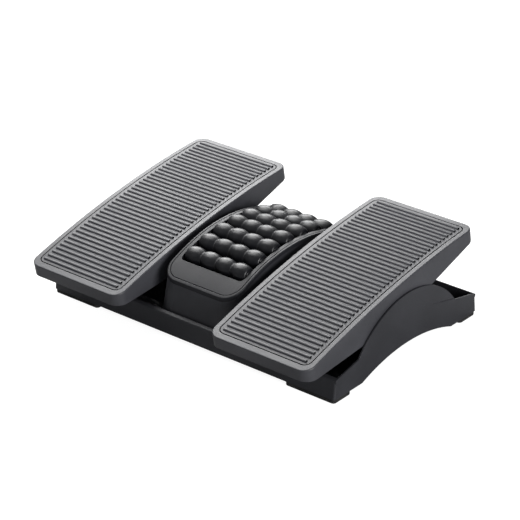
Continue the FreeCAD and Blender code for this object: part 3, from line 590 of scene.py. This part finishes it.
@dataclass(frozen=True)
class SoftRubber(Finish):
    """Black rubber with a matt bloom that clings to its edges."""

    colour: Colour
    bloom: Colour = (0.075, 0.073, 0.07)
    mottle: float = 0.3
    edge_bloom: float = 0.35
    speckle_dull: float = 0.12
    shine: float = 0.35
    grain_height: float = 0.00006
    dust_colour: Colour = (0.28, 0.27, 0.25)

    def wire(self, wiring: Wiring, surface: bpy.types.bpy_prop_collection) -> None:
        """Feed a mottled colour and a rough, slightly lumpy surface.

        Args:
            wiring: The material's wiring.
            surface: The inputs of the Principled shader.
        """
        grain = GRAIN.place(wiring, Pitch=0.0011, Drift_Width=0.018)
        edges = EDGES.place(wiring, Reach=0.0012)
        dust = DUST.place(wiring, Amount=0.12)
        mottled = wiring.blend(wiring.sum("MULTIPLY", grain["Drift"], self.mottle), self.colour, self.bloom)
        rubbed = wiring.blend(wiring.sum("MULTIPLY", edges["Edge"], self.edge_bloom), mottled, self.bloom)
        wiring.feed(surface["Base Color"], wiring.blend(dust["Dust"], rubbed, self.dust_colour))
        wiring.feed(surface["Roughness"],
                    wiring.sum("MULTIPLY_ADD", grain["Speckle"], self.speckle_dull, Gloss.RUBBERY.value,
                               clamp=True))
        surface["Specular IOR Level"].default_value = self.shine
        bump = wiring.add("Bump")
        bump.inputs["Strength"].default_value = 1.0
        bump.inputs["Distance"].default_value = self.grain_height
        wiring.feed(bump.inputs["Height"], grain["Height"])
        wiring.feed(surface["Normal"], bump.outputs["Normal"])


@dataclass(frozen=True)
class DrawnSteel(Finish):
    """Bare or plated steel with lines along its length and dull spots."""

    colour: Colour
    roughness: float = 0.32
    line_tone: float = 0.72
    line_height: float = 0.000008
    spot_share: float = 0.3
    spot_dull: float = 0.18
    spot_colour: Colour = (0.2, 0.19, 0.17)

    def wire(self, wiring: Wiring, surface: bpy.types.bpy_prop_collection) -> None:
        """Feed a metal whose tone and roughness follow the drawn lines.

        Args:
            wiring: The material's wiring.
            surface: The inputs of the Principled shader.
        """
        lines = LINES.place(wiring, Pitch=0.00018, Stretch=60.0)
        grain = GRAIN.place(wiring, Pitch=0.0014, Drift_Width=0.009)
        darker = tuple(part * self.line_tone for part in self.colour)
        drawn = wiring.blend(lines["Tone"], darker, self.colour)
        spotted = wiring.blend(wiring.sum("MULTIPLY", grain["Drift"], self.spot_share), drawn,
                               self.spot_colour)
        wiring.feed(surface["Base Color"], spotted)
        surface["Metallic"].default_value = 1.0
        wiring.feed(surface["Roughness"],
                    wiring.sum("MULTIPLY_ADD", grain["Drift"], self.spot_dull, self.roughness, clamp=True))
        bump = wiring.add("Bump")
        bump.inputs["Strength"].default_value = 1.0
        bump.inputs["Distance"].default_value = self.line_height
        wiring.feed(bump.inputs["Height"], lines["Height"])
        wiring.feed(surface["Normal"], bump.outputs["Normal"])


TRAY_PLASTIC = MouldedPlastic("tray_plastic", (0.026, 0.0264, 0.0305), Gloss.FINE_TEXTURE, shine=0.35,
                              dust=0.02)
HOUSING_PLASTIC = MouldedPlastic("housing_plastic", (0.034, 0.0345, 0.0395), Gloss.FINE_TEXTURE, shine=0.3,
                                 dust=0.01)
COVER_PLASTIC = MouldedPlastic("cover_plastic", (0.014, 0.0143, 0.0172), Gloss.FINE_TEXTURE, shine=0.22,
                               dust=0.02)
BED_PLASTIC = MouldedPlastic("bed_plastic", (0.006, 0.006, 0.0065), Gloss.COARSE_TEXTURE, shine=0.25,
                             dust=0.0)
PEDAL_PLASTIC = MouldedPlastic("pedal_plastic", (0.041, 0.0417, 0.048), Gloss.FINE_TEXTURE, shine=0.5)
TREAD_PLASTIC = RibbedPlastic("tread_plastic", (0.042, 0.0427, 0.049), Gloss.FINE_TEXTURE, shine=0.42,
                              grain_pitch=0.0006, edge_round=0.0003)
RAIL_PLASTIC = MouldedPlastic("rail_plastic", (0.012, 0.012, 0.013), Gloss.SATIN, shine=0.4, dust=0.02)
SHOE_PLASTIC = MouldedPlastic("shoe_plastic", (0.2, 0.2, 0.19), Gloss.SATIN, shine=0.5, dust=0.02)
ROLLER_PLASTIC = PolishedLobes("roller_plastic", (0.006, 0.0062, 0.0078), roughness=0.36, shine=0.38)
FOOT_RUBBER = SoftRubber("foot_rubber", (0.012, 0.012, 0.0125))
BUFFER_RUBBER = SoftRubber("buffer_rubber", (0.016, 0.016, 0.0165))
SCREW_STEEL = DrawnSteel("screw_steel", (0.55, 0.55, 0.53), 0.36)
AXLE_STEEL = DrawnSteel("axle_steel", (0.6, 0.6, 0.59), 0.26)


def cad(node: str) -> bpy.types.Object:
    """The CAD node of that name."""
    return frame["nodes"][node]


def link(name: str, mesh: bmesh.types.BMesh) -> bpy.types.Object:
    """Turn a finished bmesh into an object of the scene.

    Args:
        name: The object's name.
        mesh: The bmesh, which is freed.

    Returns:
        The new object.
    """
    bmesh.ops.recalc_face_normals(mesh, faces=mesh.faces)
    data = bpy.data.meshes.new(name)
    mesh.to_mesh(data)
    mesh.free()
    for polygon in data.polygons:
        polygon.use_smooth = True
    piece = bpy.data.objects.new(name, data)
    bpy.context.scene.collection.objects.link(piece)
    return piece


@dataclass
class OpenTray:
    """The open moulding on the floor, with its screws."""

    shell: str = "base_frame"

    def build(self) -> list[str]:
        """Dress the tray.

        Returns:
            The names of the dressed pieces.
        """
        TRAY_PLASTIC.dress(cad(self.shell))
        SCREW_STEEL.dress(cad("foot_screws"))
        SCREW_STEEL.dress(cad("rail_screws"))
        return [self.shell, "foot_screws", "rail_screws"]


@dataclass
class FootPad:
    """One rubber pad with a grooved sole, let in under a corner of the tray."""

    corner: str
    bevel: float = 0.0012
    corner_radius: float = 0.0045
    corner_steps: int = 6
    groove_count: int = 9
    groove_width: float = 0.0016
    groove_depth: float = 0.0012
    groove_inset: float = 0.004
    screw_radius: float = 0.0036
    screw_depth: float = 0.0032

    def outline(self, inset: float) -> list[tuple[float, float]]:
        """The pad's outline about its middle, with rounded corners.

        Args:
            inset: How far it lies inside the pad's edge.

        Returns:
            Points in order around the outline.
        """
        low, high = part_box("foot_" + self.corner)
        radius = self.corner_radius - inset
        across = (high.x - low.x) / 2 - self.corner_radius
        along = (high.y - low.y) / 2 - self.corner_radius
        points = []
        for quarter, (side, end) in enumerate(((1, 1), (-1, 1), (-1, -1), (1, -1))):
            for step in range(self.corner_steps + 1):
                angle = math.radians(90 * (quarter + step / self.corner_steps))
                points.append((side * across + radius * math.cos(angle),
                               end * along + radius * math.sin(angle)))
        return points

    def block(self) -> bpy.types.Object:
        """The plain pad, bevelled at the sole and square at the top.

        Returns:
            The pad's object.
        """
        low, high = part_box("foot_" + self.corner)
        middle = (low + high) / 2
        ease = self.bevel / 4
        levels = ((low.z, self.bevel), (low.z + self.bevel / 3, self.bevel / 3), (low.z + self.bevel, 0.0),
                  (high.z - ease, 0.0), (high.z, 0.0))
        mesh = bmesh.new()
        rings = [[mesh.verts.new((middle.x + x, middle.y + y, z)) for x, y in self.outline(inset)]
                 for z, inset in levels]
        for lower, upper in zip(rings, rings[1:]):
            for place in range(len(lower)):
                following = (place + 1) % len(lower)
                mesh.faces.new((lower[place], lower[following], upper[following], upper[place]))
        mesh.faces.new(rings[0][::-1])
        mesh.faces.new(rings[-1])
        return link("foot_pad_" + self.corner, mesh)

    def cutter(self) -> bpy.types.Object:
        """The grooves of the sole and the sunk screw's hole, to be cut away.

        Returns:
            The cutter's object.
        """
        low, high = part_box("foot_" + self.corner)
        middle = (low + high) / 2
        mesh = bmesh.new()
        pitch = (high.x - low.x - 2 * self.groove_inset) / self.groove_count
        half_along = (high.y - low.y) / 2 - self.groove_inset
        for number in range(self.groove_count):
            across = middle.x + (number - (self.groove_count - 1) / 2) * pitch
            if abs(across - middle.x) < self.screw_radius + self.groove_width:
                continue
            made = bmesh.ops.create_cube(mesh, size=1.0)
            for corner in made["verts"]:
                corner.co.x = across + corner.co.x * self.groove_width
                corner.co.y = middle.y + corner.co.y * 2 * half_along
                corner.co.z = low.z + corner.co.z * 2 * self.groove_depth
        made = bmesh.ops.create_cone(mesh, segments=32, cap_ends=True, radius1=self.screw_radius,
                                     radius2=self.screw_radius, depth=2 * self.screw_depth)
        for corner in made["verts"]:
            corner.co += Vector((middle.x, middle.y, low.z))
        return link("foot_cutter_" + self.corner, mesh)

    def build(self) -> list[str]:
        """Build the grooved pad in place of the plain one.

        Returns:
            The name of the pad.
        """
        pad = self.block()
        cutter = self.cutter()
        cutting = pad.modifiers.new("grooves", "BOOLEAN")
        cutting.object = cutter
        cutting.solver = "EXACT"
        bpy.context.view_layer.update()
        graph = bpy.context.evaluated_depsgraph_get()
        finished = bpy.data.meshes.new_from_object(pad.evaluated_get(graph))
        pad.modifiers.clear()
        pad.data = finished
        bpy.data.objects.remove(cutter)
        for polygon in finished.polygons:
            polygon.use_smooth = False
        FOOT_RUBBER.dress(pad)
        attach(pad, "base")
        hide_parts("foot_" + self.corner)
        return [pad.name]


@dataclass
class CentreHousing:
    """The shroud between the pedals, its arched cover and the tub that the rollers lie in."""

    def build(self) -> list[str]:
        """Dress the housing, the cover, the tub and the cover's screws.

        Returns:
            The names of the dressed pieces.
        """
        HOUSING_PLASTIC.dress(cad("centre_housing"))
        COVER_PLASTIC.dress(cad("roller_cover"))
        BED_PLASTIC.dress(cad("roller_bed"))
        SCREW_STEEL.dress(cad("cover_screws"))
        return ["centre_housing", "roller_cover", "roller_bed", "cover_screws"]


@dataclass
class RollerRow:
    """One row of four barrel-shaped lobes on its steel axle."""

    row: int
    lobes: int = 4
    lobe_radius: float = 0.0119
    lobe_pitch: float = 0.02363
    neck_radius: float = 0.009
    end_ease: float = 0.0004
    end_dish: float = 0.0005
    hub_radius: float = 0.0045
    hub_length: float = 0.0011
    bore_radius: float = 0.00208
    seam_rise: float = 0.00006
    seam_width: float = 1.2
    turns: int = 72
    lobe_steps: int = 22

    def profile(self) -> list[tuple[float, float]]:
        """The row's outline along its axle, as distances along it and radii.

        Returns:
            Points from the left end of the bore to the right end.
        """
        half = self.lobes / 2 * self.lobe_pitch
        rise = self.lobe_radius - self.neck_radius
        arc = ((self.lobe_pitch / 2) ** 2 + rise ** 2) / (2 * rise)
        tip = half + self.hub_length
        rim = self.neck_radius - self.end_ease
        end_face = [(tip, self.bore_radius), (tip, self.hub_radius - 0.0002), (tip - 0.0002, self.hub_radius),
                    (half - self.end_dish, self.hub_radius), (half - self.end_dish, rim - 0.0012),
                    (half, rim - 0.0006), (half, rim)]
        points = [(-across, radius) for across, radius in end_face]
        for lobe in range(self.lobes):
            middle = (lobe - (self.lobes - 1) / 2) * self.lobe_pitch
            first = 1 if lobe == 0 else 0
            last = self.lobe_steps - (1 if lobe == self.lobes - 1 else 0)
            for step in range(first, last + 1):
                away = (step / self.lobe_steps - 0.5) * self.lobe_pitch
                radius = self.lobe_radius - arc + math.sqrt(arc ** 2 - away ** 2)
                points.append((middle + away, radius))
        points += end_face[::-1]
        return points

    def radius_at(self, radius: float, angle: float) -> float:
        """Raise the surface a little along the two parting lines of the mould.

        Args:
            radius: The outline's radius.
            angle: The angle around the axle, in degrees.

        Returns:
            The radius there.
        """
        away = min(abs(angle % 180.0), 180.0 - abs(angle % 180.0))
        return radius + (self.seam_rise if away < self.seam_width and radius > self.bore_radius else 0.0)

    def build(self) -> list[str]:
        """Turn the lobes in place of the plain node and dress the axle.

        Returns:
            The names of the roller and its axle.
        """
        joint = next(j for j in frame["joints"] if j["child"] == "roller_" + str(self.row))
        _, along, up = joint["pos_m"]
        mesh = bmesh.new()
        profile = self.profile()
        rings = []
        for across, radius in profile:
            ring = []
            for turn in range(self.turns):
                angle = 360.0 * turn / self.turns
                reach = self.radius_at(radius, angle)
                ring.append(mesh.verts.new((across, along + reach * math.cos(math.radians(angle)),
                                            up + reach * math.sin(math.radians(angle)))))
            rings.append(ring)
        rings.append(rings[0])
        for near, far in zip(rings, rings[1:]):
            for turn in range(self.turns):
                following = (turn + 1) % self.turns
                mesh.faces.new((near[turn], near[following], far[following], far[turn]))
        roller = link("roller_row_" + str(self.row), mesh)
        ROLLER_PLASTIC.dress(roller)
        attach(roller, "roller_" + str(self.row))
        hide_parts("massage_roller_" + str(self.row))
        axle = "roller_axle_" + str(self.row)
        AXLE_STEEL.dress(cad(axle))
        return [roller.name, axle]


@dataclass
class Pedal:
    """One pedal: its shell, ribbed tread, glide shoes and fasteners."""

    side: Side

    def build(self) -> list[str]:
        """Dress every piece that swings with the pedal.

        Returns:
            The names of the dressed pieces.
        """
        name = self.side.value
        PEDAL_PLASTIC.dress(cad("pedal_shell_" + name))
        TREAD_PLASTIC.dress(cad("tread_panel_" + name))
        SCREW_STEEL.dress(cad("tread_nuts_" + name))
        SCREW_STEEL.dress(cad("shoe_screws_" + name))
        shoes = [node for node in sorted(frame["nodes"]) if node.startswith("glide_shoe_" + name)]
        for shoe in shoes:
            SHOE_PLASTIC.dress(cad(shoe))
        return ["pedal_shell_" + name, "tread_panel_" + name, "tread_nuts_" + name, "shoe_screws_" + name,
                *shoes]


@dataclass
class RailPair:
    """The two curved rails below one pedal, with their rubber buffers."""

    side: Side

    def build(self) -> list[str]:
        """Dress the rails and the buffers.

        Returns:
            The names of the dressed pieces.
        """
        name = self.side.value
        rails = ["glide_rail_" + name + "_outer", "glide_rail_" + name + "_inner"]
        for rail in rails:
            RAIL_PLASTIC.dress(cad(rail))
        buffers = ["heel_buffers_" + name, "toe_buffers_" + name]
        for buffer in buffers:
            BUFFER_RUBBER.dress(cad(buffer))
        return rails + buffers


@dataclass(frozen=True)
class SoftBox:
    """A square studio lamp that faces the footrest."""

    name: str
    place: Point
    size: float
    power: float
    colour: Colour = (1.0, 1.0, 1.0)
    target: Point = (0.0, 0.0, 0.06)

    def build(self) -> None:
        """Hang the lamp and turn it to its target."""
        data = bpy.data.lights.new(self.name, "AREA")
        data.shape = "SQUARE"
        data.size = self.size
        data.energy = self.power
        data.color = self.colour
        lamp = bpy.data.objects.new(self.name, data)
        lamp.location = self.place
        lamp.rotation_euler = (Vector(self.target) - Vector(self.place)).to_track_quat("-Z", "Y").to_euler()
        bpy.context.scene.collection.objects.link(lamp)


@dataclass
class Studio:
    """The pale floor, the soft light and the camera."""

    camera_reach: Point = (1.5028, -1.8378, 1.2475)
    azimuth: float = 39.37
    elevation: float = 26.57
    focal_length: float = 148.0
    sensor_width: float = 36.0
    floor_half: float = 6.0
    sky: float = 0.22
    floor_glow: float = 0.92
    lamps: list[SoftBox] = field(default_factory=lambda: [
        SoftBox("back_lamp", (-1.0, 1.05, 0.95), 1.0, 27.0),
        SoftBox("top_lamp", (-0.8, 0.2, 1.3), 1.0, 21.0),
        SoftBox("right_lamp", (2.4, -0.6, 0.7), 1.2, 64.0),
        SoftBox("front_lamp", (-1.2, -2.0, 1.2), 1.2, 2.0),
    ])

    def middle(self) -> Vector:
        """The place on the floor below the middle of the tray.

        Returns:
            That place.
        """
        low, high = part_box("base_frame")
        return Vector(((low.x + high.x) / 2, (low.y + high.y) / 2, 0.0))

    def floor(self) -> None:
        """Lay the pale floor, which looks white, takes faint shadows and throws little light back up."""
        mesh = bmesh.new()
        half = self.floor_half
        corners = ((-half, -half), (half, -half), (half, half), (-half, half))
        mesh.faces.new([mesh.verts.new((x, y, 0.0)) for x, y in corners])
        floor = link("studio_floor", mesh)
        material = bpy.data.materials.new("studio_floor")
        material.use_nodes = True
        wiring = Wiring(material.node_tree)
        surface = material.node_tree.nodes["Principled BSDF"].inputs
        seen = wiring.add("LightPath").outputs["Is Camera Ray"]
        surface["Base Color"].default_value = (0.3, 0.3, 0.3, 1.0)
        surface["Emission Color"].default_value = (1.0, 1.0, 1.0, 1.0)
        wiring.feed(surface["Emission Strength"], wiring.sum("MULTIPLY", seen, self.floor_glow))
        surface["Roughness"].default_value = 0.9
        surface["Specular IOR Level"].default_value = 0.0
        floor.data.materials.append(material)

    def world(self) -> None:
        """Light everything evenly from all around."""
        world = bpy.data.worlds.new("studio")
        world.use_nodes = True
        sky = world.node_tree.nodes["Background"].inputs
        sky["Color"].default_value = (0.95, 0.97, 1.0, 1.0)
        sky["Strength"].default_value = self.sky
        bpy.context.scene.world = world

    def camera(self) -> None:
        """Set the camera up at the photograph's viewing angle."""
        data = bpy.data.cameras.new("camera")
        data.sensor_fit = "HORIZONTAL"
        data.sensor_width = self.sensor_width
        data.lens = self.focal_length
        camera = bpy.data.objects.new("camera", data)
        camera.location = self.middle() + Vector(self.camera_reach)
        camera.rotation_euler = (math.radians(90.0 - self.elevation), 0.0, math.radians(self.azimuth))
        bpy.context.scene.collection.objects.link(camera)
        bpy.context.scene.camera = camera

    def build(self) -> list[str]:
        """Set up the whole studio.

        Returns:
            The names of what it is made of.
        """
        bpy.context.scene.view_settings.view_transform = "Standard"
        self.floor()
        self.world()
        self.camera()
        for lamp in self.lamps:
            lamp.build()
        return ["studio_floor", *[lamp.name for lamp in self.lamps]]


def main() -> None:
    """Build the studio and every sub-assembly in order."""
    logging.basicConfig(level=logging.INFO, format="%(name)s: %(message)s")
    assemblies = [Studio(), OpenTray()]
    assemblies += [FootPad(corner) for corner in ("front_left", "front_right", "rear_left", "rear_right")]
    assemblies.append(CentreHousing())
    assemblies += [RollerRow(row) for row in range(1, 8)]
    for side in Side:
        assemblies += [RailPair(side), Pedal(side)]
    for assembly in assemblies:
        for name in assembly.build():
            log.info("%s: %s", type(assembly).__name__, name)


if __name__ == "__main__":
    main()
